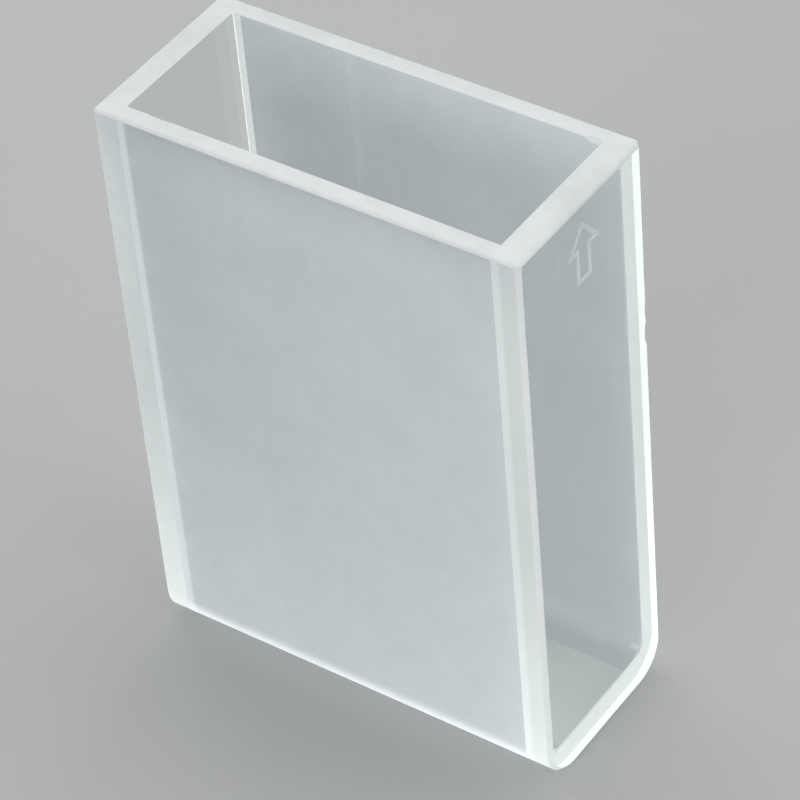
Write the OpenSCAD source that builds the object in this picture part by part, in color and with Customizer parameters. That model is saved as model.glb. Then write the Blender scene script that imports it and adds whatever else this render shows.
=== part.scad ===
// Optical cuvette: a clear sample cell, open at the top.
// A U-shaped body of ground glass makes the front wall, the floor and the back wall in one piece.
// A polished window plate is fused over each open end of the body.
// Millimetres. Z points up and the base rests on z = 0.
// X runs along the light path, from the left window to the right window. Y runs from front to back.

/* [Overall] */
// Outside width along the light path, window face to window face
outer_width = 32.0; // [20:0.1:60]
// Outside depth, front wall to back wall
outer_depth = 13.8; // [9:0.1:30]
// Full height from the base to the rim
outer_height = 45.0; // [20:0.5:80]

/* [Body] */
// Thickness of the front wall and of the back wall
wall_thick = 1.25; // [0.8:0.05:3]
// Thickness of the floor
floor_thick = 1.8; // [0.8:0.05:4]
// Inside radius where the floor meets the two walls
inside_radius = 0.7; // [0.2:0.05:2]
// Outside radius along the front and back edges of the base
base_radius = 2.8; // [0.5:0.05:4]
// Bevel along the outside edges of the rim, front and back
rim_bevel = 0.3; // [0.1:0.05:0.6]

/* [Windows] */
// Thickness of each window plate
window_thick = 2.0; // [1:0.05:4]
// Bevel along the top and upright edges of each window's outside face
window_bevel = 0.3; // [0.1:0.05:0.6]

/* [Arrow mark] */
// Full height of the etched arrow
arrow_height = 4.6; // [3:0.1:12]
// Width of the arrow across its barbs
arrow_width = 3.6; // [1.5:0.1:7]
// Width of the arrow's tail
tail_width = 1.6; // [0.8:0.1:4]
// Height of the arrow's head
head_height = 2.2; // [1:0.1:6]
// Width of the etched line
line_width = 0.3; // [0.2:0.05:0.6]
// Depth of the etched line
line_depth = 0.08; // [0.04:0.01:0.2]
// Distance from the rim down to the tip of the arrow
arrow_drop = 1.4; // [1:0.1:20]

/* [Hidden] */
$fn = 96;
// Length of the body between the two windows, which is the light path
path_length = outer_width - 2 * window_thick;
// Height of the arrow's centre above the base
arrow_middle = outer_height - arrow_drop - arrow_height / 2;
// Overreach of the cutting shapes
reach = 1.0;

// Outside outline of the cell seen along the light path: depth across, height up.
module outside_outline() {
    side = outer_depth / 2;
    polygon([
        [-side, base_radius],
        [side, base_radius],
        [side, outer_height - rim_bevel],
        [side - rim_bevel, outer_height],
        [-side + rim_bevel, outer_height],
        [-side, outer_height - rim_bevel]
    ]);
    translate([-side + base_radius, 0]) square([outer_depth - 2 * base_radius, 2 * base_radius]);
    for (end = [-1, 1]) translate([end * (side - base_radius), base_radius]) circle(r = base_radius);
}

// Outline of the sample space, seen the same way and open past the rim.
module inside_outline() {
    side = outer_depth / 2 - wall_thick;
    start = floor_thick + inside_radius;
    translate([-side, start]) square([2 * side, outer_height - start + reach]);
    translate([-side + inside_radius, floor_thick]) square([2 * (side - inside_radius), 2 * inside_radius]);
    for (end = [-1, 1]) translate([end * (side - inside_radius), start]) circle(r = inside_radius);
}

// Stands a flat outline up across the light path and gives it a length along X.
module across_path(start, length) {
    translate([start, 0, 0]) rotate([90, 0, 90]) linear_extrude(height = length) children();
}

// Front wall, floor and back wall in one U-shaped piece.
module body() {
    color([0.86, 0.90, 0.90, 0.75])
    across_path(-path_length / 2, path_length)
    difference() {
        outside_outline();
        inside_outline();
    }
}

// Square bar that cuts an edge bevel when its axis lies on the edge.
module bevel_bar(bevel, length) {
    rotate([0, 0, 45]) cube([bevel * sqrt(2), bevel * sqrt(2), length], center = true);
}

// Plate that closes one end, with its outside face towards +X.
module window_plate() {
    difference() {
        across_path(path_length / 2, window_thick) outside_outline();
        for (end = [-1, 1])
            translate([outer_width / 2, end * outer_depth / 2, outer_height / 2])
                bevel_bar(window_bevel, outer_height + 2 * reach);
        translate([outer_width / 2, 0, outer_height])
            rotate([90, 0, 0]) bevel_bar(window_bevel, outer_depth + 2 * reach);
    }
}

// Arrow pointing up, centred on the origin.
module arrow_shape() {
    tip = arrow_height / 2;
    neck = tip - head_height;
    polygon([
        [0, tip],
        [-arrow_width / 2, neck],
        [-tail_width / 2, neck],
        [-tail_width / 2, -tip],
        [tail_width / 2, -tip],
        [tail_width / 2, neck],
        [arrow_width / 2, neck]
    ]);
}

// The same arrow shrunk by the width of the etched line on every side.
module arrow_core() {
    half_angle = atan2(arrow_width / 2, head_height);
    tip = arrow_height / 2;
    neck = tip - head_height + line_width;
    inner_tip = tip - line_width / sin(half_angle);
    barb = (inner_tip - neck) * tan(half_angle);
    tail = tail_width / 2 - line_width;
    polygon([
        [0, inner_tip],
        [-barb, neck],
        [-tail, neck],
        [-tail, -tip + line_width],
        [tail, -tip + line_width],
        [tail, neck],
        [barb, neck]
    ]);
}

// Shallow groove that draws the arrow on the outside face of the right window.
module arrow_groove() {
    translate([0, 0, arrow_middle])
        across_path(outer_width / 2 - line_depth, line_depth + reach)
            difference() {
                arrow_shape();
                arrow_core();
            }
}

// Plain window at the -X end of the light path.
module left_window() {
    color([0.80, 0.88, 0.88, 0.35]) rotate([0, 0, 180]) window_plate();
}

// Window at the +X end of the light path. Its arrow points to the open end.
module right_window() {
    color([0.80, 0.88, 0.88, 0.35])
    difference() {
        window_plate();
        arrow_groove();
    }
}

body();
left_window();
right_window();
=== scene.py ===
import math

import bmesh
import bpy
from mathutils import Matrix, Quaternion, Vector, noise


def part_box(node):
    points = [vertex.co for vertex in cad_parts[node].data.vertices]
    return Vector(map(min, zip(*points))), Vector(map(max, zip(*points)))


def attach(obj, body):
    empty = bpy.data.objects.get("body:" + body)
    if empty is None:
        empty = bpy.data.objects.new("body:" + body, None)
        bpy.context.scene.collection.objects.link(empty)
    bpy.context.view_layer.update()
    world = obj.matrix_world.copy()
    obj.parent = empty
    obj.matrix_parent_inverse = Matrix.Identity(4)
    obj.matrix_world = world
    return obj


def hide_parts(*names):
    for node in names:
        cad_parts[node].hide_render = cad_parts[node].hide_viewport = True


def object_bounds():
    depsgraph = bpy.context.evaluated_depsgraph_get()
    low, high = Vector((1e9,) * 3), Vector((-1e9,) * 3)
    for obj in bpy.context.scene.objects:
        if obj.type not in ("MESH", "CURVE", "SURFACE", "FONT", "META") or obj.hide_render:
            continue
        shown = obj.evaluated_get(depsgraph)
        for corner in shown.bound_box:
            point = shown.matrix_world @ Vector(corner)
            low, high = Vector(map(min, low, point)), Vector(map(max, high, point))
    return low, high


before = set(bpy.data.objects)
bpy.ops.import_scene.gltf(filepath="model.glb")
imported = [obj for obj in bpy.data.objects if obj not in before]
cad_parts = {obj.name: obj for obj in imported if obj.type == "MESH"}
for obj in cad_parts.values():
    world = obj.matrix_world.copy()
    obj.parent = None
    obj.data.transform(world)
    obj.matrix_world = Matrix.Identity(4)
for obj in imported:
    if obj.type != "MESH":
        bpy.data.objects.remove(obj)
cad_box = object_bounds()

# Sizes in metres, in the frame of the CAD part. X runs along the light path and Z up.
MM = 0.001
TINY = 0.001 * MM
# A face squarer than this to an axis looks straight along it
SQUARE = 0.999

# Camera
VIEW_AZIMUTH = math.radians(37.86)
VIEW_ELEVATION = math.radians(41.38)
VIEW_ROLL = math.radians(-5.46)
VIEW_DISTANCE = 259.22 * MM
VIEW_LENS = 177.83
VIEW_OFFSET = Vector((0.70, 0.26, -0.26)) * MM
SENSOR_WIDTH = 36.0
CLIP_NEAR = 10 * MM
CLIP_FAR = 20.0

# Room left between the body and each window plate at the fused seam
SEAM_GAP = 0.005 * MM

# How finely the pieces are divided along X, up their edges and round their bends
STATION_STEP = 0.125 * MM
UPRIGHT_STEP = 0.5 * MM
ARC_STEPS = 20
BEVEL_STEPS = 4
TANGENT_SUPPORT = 0.02 * MM
# Edges that turn more than this many degrees stay crisp
CREASE = 28

# Worn edges. Each worn edge takes its own row of the pattern, so that no two are worn alike
FRONT, BACK = -1, 1
EDGE_SOFTENING = 0.05 * MM
EDGE_WEAR = 0.02 * MM
WEAR_SCALE = 900.0
WEAR_LAYER = 0.5
OUTER_ROW = 4.0
INNER_ROW = 9.0
RIDGE_ROW = 21.0
WINDOW_ROW = 17.0
UPRIGHT_ROW = 5.0
INNER_WEAR = 0.6
# The worn inner edge of the rim starts this far down, with a point between, as shares of its size
INNER_START = 1.3
INNER_MIDDLE = (0.4, 0.45)
# The back of the rim is worn less than the front
BEVEL_SHARE = {FRONT: 1.0, BACK: 0.45}
# Slight ridge that the fusing left along each inside bend, its angle round the bend and how far it spreads
RIDGE_HEIGHT = 0.12 * MM
RIDGE_ANGLE = 315.0
RIDGE_SPREAD = 6.0
# Drop of glass that the fusing left at the foot of the right window: its size, stretch along X and lumps
BEAD_RADIUS = 0.28 * MM
BEAD_CLEARANCE = 0.03 * MM
BEAD_STRETCH = 1.3
BEAD_LUMPS = 2600.0
BEAD_SHRINK = 0.85
BEAD_SWELL = 0.3
BEAD_SWELL_LIMIT = 0.5
BEAD_DIVISIONS = 4
# How ragged the chips are, how fast that changes along an edge and between chips, and how blunt they end
CHIP_RAGGED = 0.3
CHIP_SCALE = 5200.0
CHIP_SPREAD = 9000.0
CHIP_LAYER = 3.7
CHIP_BLUNTNESS = 6
# Each chip on the inner edge of the rim: side, centre along X, half width, depth
RIM_CHIPS = [
    (BACK, 13.45 * MM, 0.60 * MM, 0.24 * MM),
    (FRONT, -12.05 * MM, 0.16 * MM, 0.07 * MM),
    (FRONT, -11.70 * MM, 0.12 * MM, 0.05 * MM),
    (FRONT, -11.30 * MM, 0.20 * MM, 0.10 * MM),
    (FRONT, -10.80 * MM, 0.12 * MM, 0.06 * MM),
    (FRONT, -9.20 * MM, 0.15 * MM, 0.05 * MM),
]
# Each chip on the back upright edge of the right window: height, half height, depth
EDGE_CHIPS = [(29.9 * MM, 0.9 * MM, 0.16 * MM), (31.6 * MM, 0.5 * MM, 0.08 * MM)]


def direction(azimuth, elevation):
    """From the cell towards a place round it. Azimuth 0 is in front and a quarter turn is to the right."""
    level = math.cos(elevation)
    return Vector((math.sin(azimuth) * level, -math.cos(azimuth) * level, math.sin(elevation)))


def make_camera():
    data = bpy.data.cameras.new("camera")
    data.sensor_width = SENSOR_WIDTH
    data.lens = VIEW_LENS
    data.clip_start = CLIP_NEAR
    data.clip_end = CLIP_FAR
    camera = bpy.data.objects.new("camera", data)
    bpy.context.scene.collection.objects.link(camera)
    back = direction(VIEW_AZIMUTH, VIEW_ELEVATION)
    aim = (cad_box[0] + cad_box[1]) / 2 + VIEW_OFFSET
    camera.location = aim + back * VIEW_DISTANCE
    camera.rotation_mode = "QUATERNION"
    camera.rotation_quaternion = back.to_track_quat("Z", "Y") @ Quaternion((0, 0, 1), VIEW_ROLL)
    bpy.context.scene.camera = camera


make_camera()


# ---- What the CAD part measures ----
class Cell:
    """Sizes read from the CAD solids, so the visual pieces follow them."""


def measure_body(cell):
    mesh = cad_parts["body"].data
    points = [v.co for v in mesh.vertices]
    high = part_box("body")[1]
    cell.half_length = high.x
    cell.half_depth = high.y
    cell.top = high.z
    rim = [abs(p.y) for p in points if p.z > cell.top - TINY]
    cell.inner = min(rim)
    cell.rim_bevel = cell.half_depth - max(rim)
    cell.base_radius = min(p.z for p in points if p.y > cell.half_depth - TINY)
    level = [f for f in mesh.polygons if f.normal.z > SQUARE and f.center.z < cell.top / 2]
    cell.floor = min(f.center.z for f in level)
    flat = [abs(points[i].y) for f in level for i in f.vertices if abs(points[i].z - cell.floor) < TINY]
    cell.inside_radius = cell.inner - max(flat)


def measure_window(cell):
    points = [v.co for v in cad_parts["left_window"].data.vertices]
    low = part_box("left_window")[0]
    cell.half_width = -low.x
    cell.window_bevel = cell.half_depth - max(p.y for p in points if p.x < low.x + TINY)


cell = Cell()
measure_body(cell)
measure_window(cell)


# ---- Outlines across the light path, as (depth, height) points ----
def arc(centre, radius, ridge=0.0):
    """Points round a bend, from the base or the floor up to the wall, with an optional ridge along it."""
    points = []
    for i in range(ARC_STEPS + 1):
        angle = 270 + 90 * i / ARC_STEPS
        around = math.radians(angle)
        out = radius - ridge * math.exp(-(((angle - RIDGE_ANGLE) / RIDGE_SPREAD) ** 2))
        points.append((centre[0] + out * math.cos(around), centre[1] + out * math.sin(around)))
    return points


def upright(depth, low, high, step=None):
    """Points up a straight edge, with supports near its ends."""
    heights = [low, low + TANGENT_SUPPORT]
    if step:
        count = max(1, round((high - low) / step))
        heights += [low + (high - low) * i / count for i in range(1, count)]
    heights += [high - TANGENT_SUPPORT, high]
    return [(depth, z) for z in heights]


def chip_depth(chips, side, place):
    """How far an edge is chipped away at one place along it."""
    depth = 0.0
    for chip_side, centre, half, deep in chips:
        if chip_side == side:
            reach = abs(place - centre) / half
            spot = Vector((place * CHIP_SCALE, deep * CHIP_SPREAD, CHIP_LAYER))
            ragged = 1 + CHIP_RAGGED * noise.noise(spot)
            depth = max(depth, deep * ragged * max(0.0, 1 - reach**CHIP_BLUNTNESS))
    return depth


def wear(place, row):
    """How far an edge is worn away, or left proud, at one place along it."""
    return EDGE_WEAR * noise.noise(Vector((place * WEAR_SCALE, row, WEAR_LAYER)))


def rim_edge(bevel):
    """Points round the worn outer edge of the rim, from the wall up to the top."""
    points = []
    for i in range(1, BEVEL_STEPS + 1):
        around = math.radians(90 * i / BEVEL_STEPS)
        out, up = bevel * (1 - math.cos(around)), bevel * (1 - math.sin(around))
        points.append((cell.half_depth - out, cell.top - up))
    return points


def outer_half(side, bevel):
    """Half of the outside outline, from the middle of the base up to the rim's bevel."""
    radius = cell.base_radius
    bend = arc((cell.half_depth - radius, radius), radius)
    wall = upright(cell.half_depth, radius, cell.top - bevel)
    points = [(TANGENT_SUPPORT, 0), (bend[0][0] - TANGENT_SUPPORT, 0)] + bend + wall[1:] + rim_edge(bevel)
    return [(side * y, z) for y, z in points]


def inner_half(side, softening, chip, ridge):
    """Half of the sample space's outline, from the middle of the floor up to the rim."""
    radius = cell.inside_radius
    bend = arc((cell.inner - radius, cell.floor + radius), radius, ridge)
    edge = softening + chip
    wall = upright(cell.inner, cell.floor + radius, cell.top - edge * INNER_START)
    points = [(TANGENT_SUPPORT, cell.floor), (bend[0][0] - TANGENT_SUPPORT, cell.floor)] + bend + wall[1:]
    points.append((cell.inner + edge * INNER_MIDDLE[0], cell.top - edge * INNER_MIDDLE[1]))
    points.append((cell.inner + edge, cell.top))
    return [(side * y, z) for y, z in points]


def half_section(side, x):
    """Half of the U at X, from the middle of the base, over the rim, to the middle of the floor."""
    outer = outer_half(side, BEVEL_SHARE[side] * cell.rim_bevel + wear(x, OUTER_ROW * side))
    chip = chip_depth(RIM_CHIPS, side, x)
    ridge = RIDGE_HEIGHT + wear(x, RIDGE_ROW * side)
    softening = EDGE_SOFTENING + INNER_WEAR * abs(wear(x, INNER_ROW * side))
    inner = inner_half(side, softening, chip, ridge)
    outside = ["base"] + ["panel"] * (len(outer) - 2 - BEVEL_STEPS)
    edges = ["rim"] * (BEVEL_STEPS + 1) + ["chip", "chip"]
    return outer + inner[::-1], outside + edges + ["inside"] * (len(inner) - 3)


def body_section(x):
    """One closed outline of the U at X, with its worn edges and chips, and the finish of each stretch."""
    back, finishes = half_section(BACK, x)
    front, _ = half_section(FRONT, x)
    return back + front[::-1], finishes + ["inside"] + finishes[::-1] + ["base"]


def join_rings(bm, one, two, slots):
    """Faces between two outlines, one for each stretch, with its material slot."""
    for i, slot in enumerate(slots):
        j = (i + 1) % len(slots)
        bm.faces.new((one[i], one[j], two[j], two[i])).material_index = slot


def close_ends(bm, rings, slot):
    """Faces across the first and the last outline, which make the surface closed."""
    for ring in (rings[0], rings[-1][::-1]):
        bm.faces.new(ring).material_index = slot
    bmesh.ops.remove_doubles(bm, verts=bm.verts, dist=TINY / 10)
    bmesh.ops.recalc_face_normals(bm, faces=bm.faces)


def loft(name, stations, section, slots, end_finish):
    """Closed mesh through one outline per station along X. slots gives the material slot of each finish."""
    bm = bmesh.new()
    rings, tags = [], []
    for x in stations:
        points, tags = section(x)
        rings.append([bm.verts.new((x, y, z)) for y, z in points])
    for one, two in zip(rings, rings[1:]):
        join_rings(bm, one, two, [slots[tag] for tag in tags])
    close_ends(bm, rings, slots[end_finish])
    return finish_mesh(name, bm)


def shade(mesh):
    """Smooth along the bends and crisp at the edges."""
    mesh.polygons.foreach_set("use_smooth", [True] * len(mesh.polygons))
    mesh.set_sharp_from_angle(angle=math.radians(CREASE))


def finish_mesh(name, bm):
    mesh = bpy.data.meshes.new(name)
    bm.to_mesh(mesh)
    bm.free()
    shade(mesh)
    piece = bpy.data.objects.new(name, mesh)
    bpy.context.scene.collection.objects.link(piece)
    return piece


def stations_between(start, end, step):
    count = max(1, round((end - start) / step))
    return [start + (end - start) * i / count for i in range(count + 1)]


# ---- Materials ----
def new_material(name):
    material = bpy.data.materials.new(name)
    material.use_nodes = True
    nodes = material.node_tree.nodes
    nodes.clear()
    return material, nodes, material.node_tree.links


def new_group(name, inputs, outputs):
    """A node group with named float or colour inputs and outputs."""
    tree = bpy.data.node_groups.new(name, "ShaderNodeTree")
    for label, kind, value in inputs:
        socket = tree.interface.new_socket(name=label, in_out="INPUT", socket_type=kind)
        socket.default_value = value
    for label, kind in outputs:
        tree.interface.new_socket(name=label, in_out="OUTPUT", socket_type=kind)
    return tree, tree.nodes.new("NodeGroupInput"), tree.nodes.new("NodeGroupOutput")


def add_node(tree, kind, settings=None, **values):
    node = tree.nodes.new(kind)
    for label, value in (settings or {}).items():
        setattr(node, label, value)
    for label, value in values.items():
        node.inputs[label.replace("_", " ")].default_value = value
    return node


def math_node(tree, operation, first, second, clamp=False):
    node = add_node(tree, "ShaderNodeMath", {"operation": operation, "use_clamp": clamp})
    for socket, value in zip(node.inputs, (first, second)):
        if isinstance(value, (int, float)):
            socket.default_value = value
        else:
            tree.links.new(value, socket)
    return node.outputs["Value"]


def place_in_mm(tree, stretch=(1, 1, 1)):
    """The place on the piece in millimetres, stretched so that marks can run along one axis."""
    place = add_node(tree, "ShaderNodeTexCoord")
    scale = add_node(tree, "ShaderNodeVectorMath", {"operation": "MULTIPLY"})
    scale.inputs[1].default_value = [s / MM for s in stretch]
    tree.links.new(place.outputs["Object"], scale.inputs[0])
    return scale.outputs["Vector"]


def noise_node(tree, vector, scale, detail, rough=0.5):
    node = add_node(tree, "ShaderNodeTexNoise", Detail=detail, Roughness=rough)
    tree.links.new(vector, node.inputs["Vector"])
    if isinstance(scale, (int, float)):
        node.inputs["Scale"].default_value = scale
    else:
        tree.links.new(scale, node.inputs["Scale"])
    return node.outputs["Fac"]


def range_node(tree, value, low, high, to_low=0.0, to_high=1.0):
    node = add_node(tree, "ShaderNodeMapRange", {"clamp": True})
    node.inputs["From Min"].default_value = low
    node.inputs["From Max"].default_value = high
    node.inputs["To Min"].default_value = to_low
    node.inputs["To Max"].default_value = to_high
    tree.links.new(value, node.inputs["Value"])
    return node.outputs["Result"]


def use_group(tree, group, **values):
    node = tree.nodes.new("ShaderNodeGroup")
    node.node_tree = group
    for label, value in values.items():
        node.inputs[label.replace("_", " ")].default_value = value
    return node


def colour_between(tree, mask, dark, light):
    """Mixes two colours, or sockets that carry colours, by a mask.
    The node's colour sockets come after those that it keeps for numbers and vectors."""
    node = add_node(tree, "ShaderNodeMix", {"data_type": "RGBA"})
    for socket, colour in ((node.inputs[6], dark), (node.inputs[7], light)):
        if isinstance(colour, tuple):
            socket.default_value = (*colour, 1)
        else:
            tree.links.new(colour, socket)
    tree.links.new(mask, node.inputs[0])
    return node.outputs[2]


# Painted light: a ground surface is painted a little paler towards the lower right, as if more light fell
# there.
# Its change for each millimetre along X, Y and Z, as a share of the whole change from one end of the body
# to the other and from the rim to the base
PAINTED_LIGHT_LEAN = (MM / (2 * cell.half_length), 0, -MM / cell.top)
# What the tone of a ground surface is made of: the share and the range of its clouds, mottling and grain
CLOUD = (0.55, (0.32, 0.68))
MOTTLE = (0.25, (0.35, 0.65))
GRAINS = (0.2, (0.3, 0.7))
MOTTLE_SIZE = 0.9
GRIND_ROUGHNESS = 0.2
GRIND_DEPTH = 0.02 * MM
MIDDLE_TONE = 0.5


def share_of_tone(tree, pattern, share, limits):
    """One pattern's part of a ground surface's tone."""
    return math_node(tree, "MULTIPLY", range_node(tree, pattern, *limits), share)


def make_grain_and_light_lean_group():
    """Fine grain of a ground surface, with soft clouds and a few lighter grinding specks, and a painted lean
    that makes it paler towards the lower right.
    """
    number = "NodeSocketFloat"
    settings = (("Grain Size", 7.0), ("Cloud Size", 0.22), ("Contrast", 0.5), ("Lean", 0.0))
    tree, inputs, outputs = new_group(
        "ground_grain_and_light_lean",
        [(label, number, value) for label, value in settings],
        [("Tone", number), ("Height", number), ("Rough Change", number)],
    )
    take = inputs.outputs
    place = place_in_mm(tree)
    grain = noise_node(tree, place, take["Grain Size"], detail=4.0, rough=0.65)
    cloud = noise_node(tree, place, take["Cloud Size"], detail=3.0, rough=0.55)
    patch = noise_node(tree, place, MOTTLE_SIZE, detail=5.0, rough=0.6)
    mix = math_node(tree, "ADD", share_of_tone(tree, cloud, *CLOUD), share_of_tone(tree, patch, *MOTTLE))
    mix = math_node(tree, "ADD", share_of_tone(tree, grain, *GRAINS), mix)
    centred = math_node(tree, "SUBTRACT", mix, MIDDLE_TONE)
    # Painted light: the lean makes the tone paler towards the lower right
    light_lean = add_node(tree, "ShaderNodeVectorMath", {"operation": "DOT_PRODUCT"})
    light_lean.inputs[1].default_value = PAINTED_LIGHT_LEAN
    tree.links.new(place, light_lean.inputs[0])
    light_lean_tone = math_node(tree, "ADD", light_lean.outputs["Value"], MIDDLE_TONE)
    tone = math_node(tree, "ADD", math_node(tree, "MULTIPLY", centred, take["Contrast"]), MIDDLE_TONE)
    tone = math_node(tree, "ADD", math_node(tree, "MULTIPLY", light_lean_tone, take["Lean"]), tone, clamp=True)
    tree.links.new(tone, outputs.inputs["Tone"])
    tree.links.new(grain, outputs.inputs["Height"])
    tree.links.new(math_node(tree, "MULTIPLY", centred, GRIND_ROUGHNESS), outputs.inputs["Rough Change"])
    return tree


# Hairline marks: how they are stretched along X, Y and Z, how wide a line is, where they break off and how
# rough they are
MARK_STRETCH = (0.35, 0.9, 0.16)
MARK_WIDTH = 0.012
MARK_BREAKS = (0.5, 0.62)
MARK_BREAK_SIZE = 0.3
MARK_ROUGHNESS = 0.4


def make_scratch_group():
    """Hairline scratches that run mostly upright, as a mask."""
    number = "NodeSocketFloat"
    tree, inputs, outputs = new_group(
        "hairline_marks",
        [("Density", number, 1.0), ("Amount", number, 0.5)],
        [("Mask", number)],
    )
    cells = add_node(tree, "ShaderNodeTexVoronoi", {"feature": "DISTANCE_TO_EDGE"})
    tree.links.new(place_in_mm(tree, MARK_STRETCH), cells.inputs["Vector"])
    tree.links.new(inputs.outputs["Density"], cells.inputs["Scale"])
    line = range_node(tree, cells.outputs["Distance"], 0.0, MARK_WIDTH, 1.0, 0.0)
    breaks = range_node(tree, noise_node(tree, place_in_mm(tree), MARK_BREAK_SIZE, detail=2.0), *MARK_BREAKS)
    broken = math_node(tree, "MULTIPLY", line, breaks)
    mask = math_node(tree, "MULTIPLY", broken, inputs.outputs["Amount"], clamp=True)
    tree.links.new(mask, outputs.inputs["Mask"])
    return tree


# Colour of the glow painted into the glass
GLOW_TINT = (0.955, 1.0, 0.99)


def fade_between(tree, value, start, end):
    """1 up to start and 0 past end, with a soft change between them."""
    fade = add_node(tree, "ShaderNodeMapRange", {"clamp": True, "interpolation_type": "SMOOTHSTEP"})
    tree.links.new(value, fade.inputs["Value"])
    for label, place in (("From Min", start), ("From Max", end)):
        if isinstance(place, (int, float)):
            fade.inputs[label].default_value = place
        else:
            tree.links.new(place, fade.inputs[label])
    fade.inputs["To Min"].default_value = 1.0
    fade.inputs["To Max"].default_value = 0.0
    return fade.outputs["Result"]


def make_edge_light_group():
    """Painted glow, as a colour: brighter at the base, down the walls and beside a seam, plus an even glow,
    standing in for light that the glass leads there. Places are in millimetres.
    """
    number, colour = "NodeSocketFloat", "NodeSocketColor"
    settings = [
        ("Base Top", 3.0),
        ("Base Amount", 0.0),
        ("Wall Top", 45.0),
        ("Wall Amount", 0.0),
        ("Seam Place", 0.0),
        ("Seam Reach", 0.45),
        ("Seam Amount", 0.0),
        ("Even Amount", 0.0),
    ]
    tree, inputs, outputs = new_group(
        "edge_light", [(label, number, value) for label, value in settings], [("Colour", colour)]
    )
    take = inputs.outputs
    split = tree.nodes.new("ShaderNodeSeparateXYZ")
    tree.links.new(place_in_mm(tree), split.inputs[0])
    height = split.outputs["Z"]
    base = fade_between(tree, height, math_node(tree, "MULTIPLY", take["Base Top"], 0.5), take["Base Top"])
    wall = fade_between(tree, height, 0.0, take["Wall Top"])
    off_seam = math_node(tree, "SUBTRACT", split.outputs["X"], take["Seam Place"])
    off_seam = math_node(tree, "ABSOLUTE", off_seam, 0.0)
    reach = take["Seam Reach"]
    seam = fade_between(tree, off_seam, math_node(tree, "MULTIPLY", reach, 0.5), reach)
    total = take["Even Amount"]
    for mask, amount in ((base, "Base Amount"), (wall, "Wall Amount"), (seam, "Seam Amount")):
        total = math_node(tree, "ADD", math_node(tree, "MULTIPLY", mask, take[amount]), total)
    tree.links.new(colour_between(tree, total, (0, 0, 0), GLOW_TINT), outputs.inputs["Colour"])
    return tree


# How strongly the ground surface and the polished glass bend light
GROUND_IOR = 1.5
POLISHED_IOR = 1.46

GRAIN_AND_LIGHT_LEAN = make_grain_and_light_lean_group()
EDGE_LIGHT = make_edge_light_group()
SCRATCHES = make_scratch_group()


def ground_glass(
    name,
    dark,
    light,
    rough=0.6,
    see_through=0.2,
    spread=0.5,
    contrast=0.5,
    light_lean=0.0,
    bump=0.15,
    grain=7.0,
    outer=None,
    inner=None,
    glow=1.0,
):
    """Ground glass: a rough, pale surface that lets light through softly.
    Outer and inner paint a glow onto it, one for each side of the surface, standing in for light led inside
    the glass."""
    material, nodes, links = new_material(name)
    tree = material.node_tree
    # Grain, clouds and mottling, with the painted lean that makes the tone paler towards the lower right
    effect = use_group(tree, GRAIN_AND_LIGHT_LEAN, Grain_Size=grain, Contrast=contrast, Lean=light_lean)
    tone = colour_between(tree, effect.outputs["Tone"], dark, light)
    roughness = math_node(tree, "ADD", effect.outputs["Rough Change"], rough, clamp=True)
    relief = add_node(tree, "ShaderNodeBump", Strength=bump, Distance=GRIND_DEPTH)
    links.new(effect.outputs["Height"], relief.inputs["Height"])
    surface = add_node(tree, "ShaderNodeBsdfPrincipled", IOR=GROUND_IOR, Transmission_Weight=see_through)
    links.new(tone, surface.inputs["Base Color"])
    links.new(roughness, surface.inputs["Roughness"])
    links.new(relief.outputs["Normal"], surface.inputs["Normal"])
    # Painted glow: emission that stands in for light led inside the glass, one pattern for each side of the
    # surface
    if outer:
        facing = nodes.new("ShaderNodeNewGeometry").outputs["Backfacing"]
        sides = [use_group(tree, EDGE_LIGHT, **values).outputs["Colour"] for values in (outer, inner)]
        links.new(colour_between(tree, facing, *sides), surface.inputs["Emission Color"])
        surface.inputs["Emission Strength"].default_value = glow
    through = add_node(tree, "ShaderNodeBsdfTranslucent")
    links.new(tone, through.inputs["Color"])
    mix = add_node(tree, "ShaderNodeMixShader")
    mix.inputs[0].default_value = spread
    links.new(surface.outputs[0], mix.inputs[1])
    links.new(through.outputs[0], mix.inputs[2])
    links.new(mix.outputs[0], nodes.new("ShaderNodeOutputMaterial").inputs["Surface"])
    return material


def clear_glass(name, tint, marks=0.35):
    """Polished glass with faint wiping marks. Lamp light passes straight through it to what is behind."""
    material, nodes, links = new_material(name)
    tree = material.node_tree
    scratch = use_group(tree, SCRATCHES, Density=1.0, Amount=marks)
    roughness = math_node(tree, "MULTIPLY", scratch.outputs["Mask"], MARK_ROUGHNESS)
    surface = add_node(tree, "ShaderNodeBsdfPrincipled", IOR=POLISHED_IOR, Transmission_Weight=1.0)
    surface.inputs["Base Color"].default_value = (*tint, 1)
    links.new(roughness, surface.inputs["Roughness"])
    open_way = add_node(tree, "ShaderNodeBsdfTransparent")
    open_way.inputs["Color"].default_value = (*tint, 1)
    path = nodes.new("ShaderNodeLightPath")
    mix = nodes.new("ShaderNodeMixShader")
    links.new(path.outputs["Is Shadow Ray"], mix.inputs[0])
    links.new(surface.outputs[0], mix.inputs[1])
    links.new(open_way.outputs[0], mix.inputs[2])
    links.new(mix.outputs[0], nodes.new("ShaderNodeOutputMaterial").inputs["Surface"])
    return material


# Studio floor: a flat disc just below the base, in two close greys
FLOOR_RADIUS = 4.0
FLOOR_SIDES = 96
FLOOR_DROP = 0.02 * MM
FLOOR_CLOUD_SIZE = 0.02
FLOOR_ROUGHNESS = 0.8
FLOOR_GREYS = ((0.36, 0.36, 0.36), (0.40, 0.40, 0.40))


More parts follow.
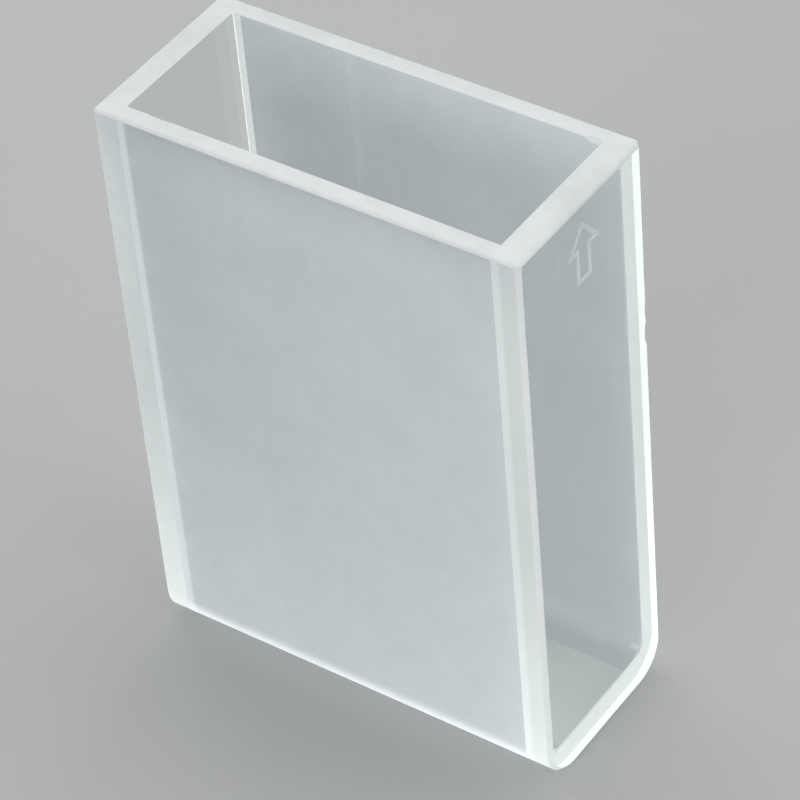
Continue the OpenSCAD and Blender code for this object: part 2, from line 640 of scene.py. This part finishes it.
def floor_material():
    material, nodes, links = new_material("studio_floor")
    tree = material.node_tree
    surface = add_node(tree, "ShaderNodeBsdfPrincipled", Roughness=FLOOR_ROUGHNESS)
    cloud = noise_node(tree, place_in_mm(tree), FLOOR_CLOUD_SIZE, detail=3.0)
    links.new(colour_between(tree, cloud, *FLOOR_GREYS), surface.inputs["Base Color"])
    links.new(surface.outputs[0], nodes.new("ShaderNodeOutputMaterial").inputs["Surface"])
    return material


# Where a painted bright band sits beside each seam on the ground surface, in millimetres along X, a little to
# the right of each joint
LEFT_SHIFT = 0.2
RIGHT_SHIFT = 0.1
LEFT_SEAM = -cell.half_length / MM + LEFT_SHIFT
RIGHT_SEAM = cell.half_length / MM + RIGHT_SHIFT
# Painted glow on the far side of the ground edges and on the fused seams, standing in for light led inside
# the glass
EDGE_INSIDE = {"Wall_Top": 24.0, "Wall_Amount": 0.4, "Even_Amount": 0.77}
SEAM_LIGHT = {"Wall_Top": 14.0, "Wall_Amount": 0.3, "Even_Amount": 0.85}

# Painted light: the panels glow near the base, down the walls and beside the left seam, and are painted paler
# towards the lower right
PANEL = ground_glass(
    "ground_panel",
    (0.50, 0.54, 0.55),
    (0.78, 0.82, 0.835),
    contrast=0.25,
    light_lean=0.34,
    outer={
        "Base_Amount": 0.75,
        "Wall_Amount": 0.2,
        "Seam_Place": LEFT_SEAM,
        "Seam_Reach": 0.5,
        "Seam_Amount": 0.26,
    },
    inner={"Base_Amount": 0.15},
)
# Painted light: the base is painted much paler than the walls and lets little light through, standing in for
# light that the glass leads down to it
BASE = ground_glass(
    "ground_base",
    (0.87, 0.89, 0.88),
    (0.97, 0.99, 0.98),
    see_through=0.0,
    spread=0.15,
    contrast=0.8,
)
# Painted glow: the ground edges glow near the base, down the walls and beside the right seam, and glow evenly
# on their far side
EDGE = ground_glass(
    "ground_edge",
    (0.70, 0.74, 0.74),
    (0.80, 0.835, 0.83),
    see_through=0.1,
    outer={
        "Base_Amount": 0.08,
        "Wall_Top": 25.0,
        "Wall_Amount": 0.36,
        "Seam_Place": RIGHT_SEAM,
        "Seam_Reach": 0.6,
        "Seam_Amount": 0.14,
    },
    inner=EDGE_INSIDE,
    glow=1.25,
)
# Painted glow: the bevels glow faintly down the walls, and evenly on their far side
BEVEL = ground_glass(
    "ground_bevel",
    (0.78, 0.81, 0.81),
    (0.88, 0.905, 0.90),
    see_through=0.0,
    outer={"Wall_Top": 28.0, "Wall_Amount": 0.08},
    inner=EDGE_INSIDE,
    glow=1.25,
)
RIM = ground_glass(
    "ground_rim",
    (0.65, 0.675, 0.67),
    (0.775, 0.79, 0.785),
    rough=0.5,
    see_through=0.0,
    spread=0.3,
    contrast=0.9,
)
# Painted glow: the seams glow strongly on both sides, more towards the base, over a dark colour
SEAM = ground_glass(
    "fused_seam",
    (0.42, 0.435, 0.43),
    (0.46, 0.475, 0.47),
    see_through=0.0,
    contrast=0.3,
    outer=SEAM_LIGHT,
    inner=SEAM_LIGHT,
)
CHIP = ground_glass(
    "chipped_glass",
    (0.76, 0.79, 0.79),
    (0.90, 0.93, 0.93),
    rough=0.4,
    see_through=0.0,
    contrast=1.0,
    bump=0.4,
)
BEAD = ground_glass(
    "fused_bead",
    (0.88, 0.91, 0.90),
    (0.97, 0.99, 0.98),
    rough=0.3,
    see_through=0.3,
    contrast=1.0,
    bump=0.3,
)
ETCHED = ground_glass("etched_line", (0.70, 0.74, 0.74), (0.85, 0.88, 0.88), see_through=0.4, contrast=0.8)
CLEAR = clear_glass("polished_window", tint=(0.925, 0.95, 0.945))
INSIDE = clear_glass("polished_inside", tint=(0.955, 0.98, 0.975), marks=0.5)

# The finishes of the body and of a window, in the order of their material slots
BODY_FINISHES = {"panel": PANEL, "rim": RIM, "chip": CHIP, "inside": INSIDE, "seam": SEAM, "base": BASE}
WINDOW_FINISHES = {"clear": CLEAR, "edge": EDGE, "rim": RIM, "bevel": BEVEL}


def slots_of(finishes):
    """Number of each finish's material slot."""
    return {finish: number for number, finish in enumerate(finishes)}


def paint(piece, *materials):
    for material in materials:
        piece.data.materials.append(material)


# ---- Body ----
def make_body():
    end = cell.half_length - SEAM_GAP
    stations = stations_between(-end, end, STATION_STEP)
    piece = loft("ground_body", stations, body_section, slots_of(BODY_FINISHES), "seam")
    paint(piece, *BODY_FINISHES.values())
    return piece


# ---- Windows ----
def window_half(side):
    """Half of the plate's outline, from the base up to the rim, with fine steps up its edge."""
    radius = cell.base_radius
    bevel = BEVEL_SHARE[side] * cell.rim_bevel
    bend = arc((cell.half_depth - radius, radius), radius)
    wall = upright(cell.half_depth, radius, cell.top - bevel, UPRIGHT_STEP)
    return [(side * y, z) for y, z in bend + wall[1:] + rim_edge(bevel)]


WINDOW_OUTLINE = window_half(BACK) + window_half(FRONT)[::-1]
# Whether each stretch of the outline lies on the rim
ON_RIM = [
    min(one[1], two[1]) > cell.top - cell.rim_bevel - TINY
    for one, two in zip(WINDOW_OUTLINE, WINDOW_OUTLINE[1:] + WINDOW_OUTLINE[:1])
]


def drawn_in(y, z, cut):
    """A point of the plate's outline, moved in from the base and from the bend beside it."""
    radius = cell.base_radius
    middle = cell.half_depth - radius
    if z > radius:
        return y, z
    if abs(y) < middle + TINY:
        return y, z + cut
    centre = math.copysign(middle, y)
    share = 1 - cut / radius
    return centre + (y - centre) * share, radius + (z - radius) * share


def window_section(outward, side):
    """The plate's outline at a distance from the middle of the cell, inside its outer bevels."""
    cut = max(0.0, outward - (cell.half_width - cell.window_bevel))
    points = []
    for y, z in WINDOW_OUTLINE:
        back = FRONT if y < 0 else BACK
        across, up = drawn_in(y, min(z, cell.top - cut), cut)
        worn = 0.0
        if cut > 0:
            worn = wear(up, WINDOW_ROW * side + UPRIGHT_ROW * back)
            if side > 0 and back == BACK:
                worn += chip_depth([(BACK, *chip) for chip in EDGE_CHIPS], BACK, up)
        limit = cell.half_depth - cut - worn * min(1.0, cut / cell.window_bevel)
        points.append((max(-limit, min(limit, across)), up))
    return points


def make_window(name, side):
    near = cell.half_length
    bevel = cell.half_width - cell.window_bevel
    bm = bmesh.new()
    rings = []
    for outward in (near, near + TANGENT_SUPPORT, bevel, cell.half_width):
        rings.append([bm.verts.new((side * outward, y, z)) for y, z in window_section(outward, side)])
    slots = slots_of(WINDOW_FINISHES)
    for one, two in zip(rings, rings[1:]):
        around = slots["bevel"] if two is rings[-1] else slots["edge"]
        join_rings(bm, one, two, [slots["rim"] if on_rim else around for on_rim in ON_RIM])
    close_ends(bm, rings, slots["clear"])
    piece = finish_mesh(name, bm)
    paint(piece, *WINDOW_FINISHES.values())
    return piece


def arrow_cutter():
    """The etched groove of the CAD window, raised into a shape that cuts it."""
    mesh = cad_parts["right_window"].data
    low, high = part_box("right_window")
    bm = bmesh.new()
    bm.from_mesh(mesh)
    floor = [
        f
        for f in bm.faces
        if f.normal.x > SQUARE and low.x + TINY < f.calc_center_median().x < high.x - TINY
    ]
    keep = set(floor)
    bmesh.ops.delete(bm, geom=[f for f in bm.faces if f not in keep], context="FACES")
    bmesh.ops.remove_doubles(bm, verts=bm.verts, dist=TINY)
    made = bmesh.ops.extrude_face_region(bm, geom=bm.faces[:])
    raised = [v for v in made["geom"] if isinstance(v, bmesh.types.BMVert)]
    bmesh.ops.translate(bm, verts=raised, vec=(cell.window_bevel, 0, 0))
    bmesh.ops.recalc_face_normals(bm, faces=bm.faces)
    cutter = finish_mesh("arrow_cutter", bm)
    paint(cutter, ETCHED)
    return cutter


def flatten_square_faces(mesh):
    """Shades the faces square to the light path flat, so no false highlight shows in the polished glass."""
    for face in mesh.polygons:
        if abs(face.normal.x) > SQUARE:
            face.use_smooth = False


def etch_arrow(piece):
    """Cuts the arrow into the window's outside face."""
    cutter = arrow_cutter()
    cut = piece.modifiers.new("arrow", "BOOLEAN")
    cut.operation = "DIFFERENCE"
    cut.solver = "EXACT"
    cut.material_mode = "TRANSFER"
    cut.object = cutter
    done = bpy.data.meshes.new_from_object(piece.evaluated_get(bpy.context.evaluated_depsgraph_get()))
    piece.modifiers.clear()
    piece.data = done
    shade(done)
    flatten_square_faces(done)
    bpy.data.objects.remove(cutter)


def make_bead():
    """Lumpy drop in the corner between the right window, the floor and the back wall."""
    room = cell.inside_radius - RIDGE_HEIGHT - EDGE_WEAR - BEAD_RADIUS - BEAD_CLEARANCE
    slant = room / math.sqrt(2)
    centre = Vector((
        cell.half_length - BEAD_STRETCH * BEAD_RADIUS - BEAD_CLEARANCE,
        cell.inner - cell.inside_radius + slant,
        cell.floor + cell.inside_radius - slant,
    ))
    bm = bmesh.new()
    bmesh.ops.create_icosphere(bm, subdivisions=BEAD_DIVISIONS, radius=BEAD_RADIUS)
    for vert in bm.verts:
        shrink = BEAD_SHRINK + BEAD_SWELL * min(BEAD_SWELL_LIMIT, noise.noise(vert.co * BEAD_LUMPS))
        vert.co = centre + Vector((vert.co.x * BEAD_STRETCH, vert.co.y, vert.co.z)) * shrink
    bead = finish_mesh("corner_bead", bm)
    paint(bead, BEAD)
    return bead


# ---- Stage ----
def make_floor():
    bm = bmesh.new()
    bmesh.ops.create_circle(bm, cap_ends=True, segments=FLOOR_SIDES, radius=FLOOR_RADIUS)
    floor = finish_mesh("studio_floor", bm)
    floor.location.z = -FLOOR_DROP
    paint(floor, floor_material())


# Colour and strength of the studio's even light
STUDIO_TINT = (0.93, 0.97, 1.0)
STUDIO_STRENGTH = 0.42
# Each lamp: name, azimuth and elevation in degrees, distance, size, watts and tint
SOFTBOXES = [
    ("top_softbox", 200, 66, 0.9, (0.9, 0.7), 3.6, (1.0, 0.995, 0.985)),
    ("front_softbox", 0, 12, 1.0, (0.8, 0.6), 6.5, (0.99, 0.99, 1.0)),
    ("right_softbox", 100, 40, 1.0, (1.0, 0.8), 4.2, (1.0, 0.995, 0.985)),
    ("left_softbox", 265, 42, 1.0, (1.0, 0.8), 2.3, (1.0, 0.995, 0.99)),
    ("back_softbox", 175, 18, 1.0, (0.8, 0.6), 2.0, (1.0, 0.99, 0.98)),
]


def add_softbox(name, azimuth, elevation, distance, size, watts, tint):
    """Large soft lamp that faces the middle of the cell."""
    data = bpy.data.lights.new(name, "AREA")
    data.shape = "RECTANGLE"
    data.size, data.size_y = size
    data.energy = watts
    data.color = tint
    lamp = bpy.data.objects.new(name, data)
    back = direction(math.radians(azimuth), math.radians(elevation))
    lamp.location = Vector((0, 0, cell.top / 2)) + back * distance
    lamp.rotation_mode = "QUATERNION"
    lamp.rotation_quaternion = back.to_track_quat("Z", "Y")
    bpy.context.scene.collection.objects.link(lamp)


def light_stage():
    world = bpy.data.worlds.new("studio")
    world.use_nodes = True
    background = world.node_tree.nodes["Background"]
    background.inputs["Color"].default_value = (*STUDIO_TINT, 1)
    background.inputs["Strength"].default_value = STUDIO_STRENGTH
    bpy.context.scene.world = world
    for softbox in SOFTBOXES:
        add_softbox(*softbox)


body = make_body()
left_window = make_window("left_window_plate", -1)
right_window = make_window("right_window_plate", 1)
etch_arrow(right_window)
bead = make_bead()

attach(body, "root")
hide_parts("body")
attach(left_window, "root")
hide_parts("left_window")
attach(right_window, "root")
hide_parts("right_window")
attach(bead, "root")

make_floor()
light_stage()
bpy.context.scene.view_settings.view_transform = "Standard"
